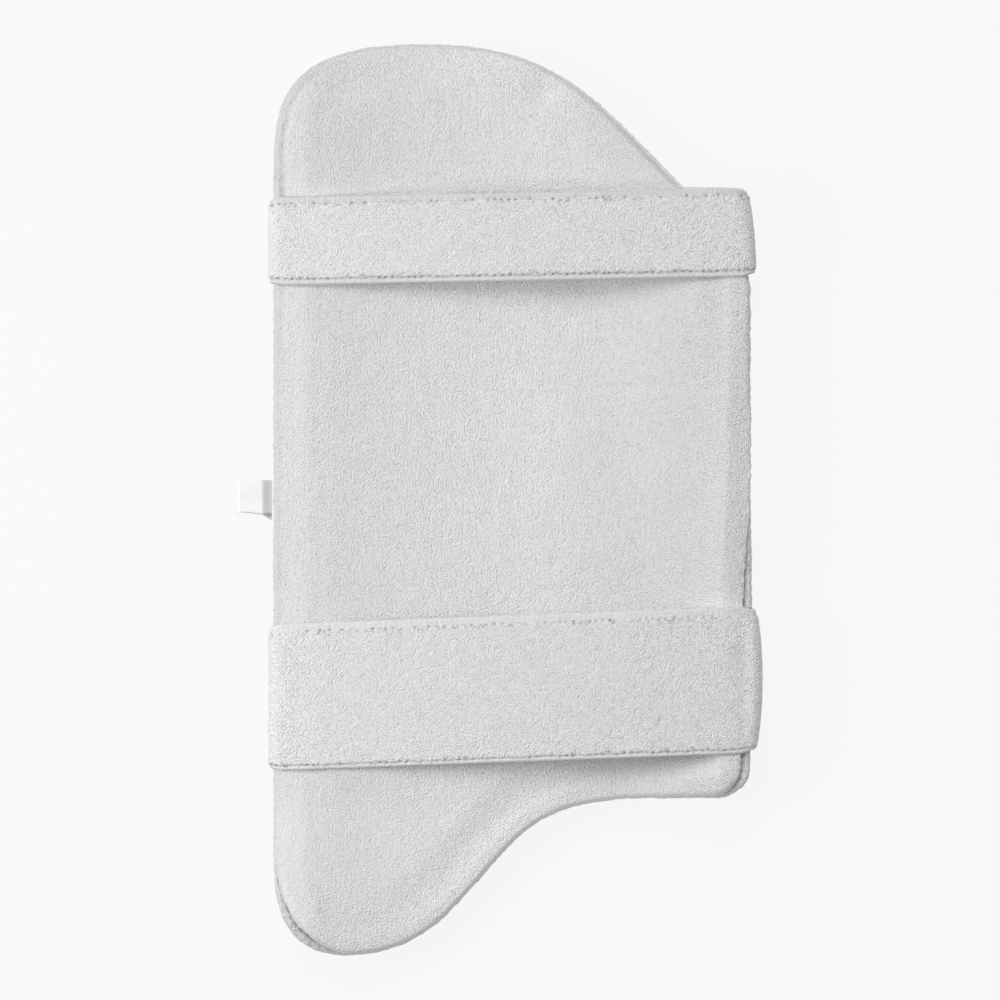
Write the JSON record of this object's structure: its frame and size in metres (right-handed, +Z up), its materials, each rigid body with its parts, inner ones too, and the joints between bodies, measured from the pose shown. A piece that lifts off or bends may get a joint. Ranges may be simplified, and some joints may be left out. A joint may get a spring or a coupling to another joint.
{
  "type": "thigh pad",
  "caption": "Long foam thigh pad for batting, bent to the leg, with a towelling back, a turned front cover, wide elastic straps round it and a blank side label.",
  "frame": {"origin": "on the flat of the front face that the pad lies on, under the middle of the pad's outline", "axes": "+X across the pad, to the right as the side that meets the leg shows it; +Y from the knee end to the hip end; +Z up from the surface it lies on to the side that meets the leg"},
  "size_m": [0.2241, 0.3915, 0.0342],
  "materials": {
    "towelling": "short looped pile, matt, off-white grey",
    "cover_cloth": "plain woven cloth, matt, off-white grey",
    "plush_elastic": "brushed loop elastic with ribbed selvedges, matt",
    "hook_tape": "woven hook tape, matt",
    "label_ribbon": "smooth satin ribbon, blank"
  },
  "bodies": {
    "root": {"pad_body": "towelling", "front_cover": "cover_cloth", "upper_strap": "plush_elastic", "lower_strap": "plush_elastic", "upper_hook_tab": "hook_tape", "lower_hook_tab": "hook_tape", "side_label": "label_ribbon"}
  },
  "joints": []
}
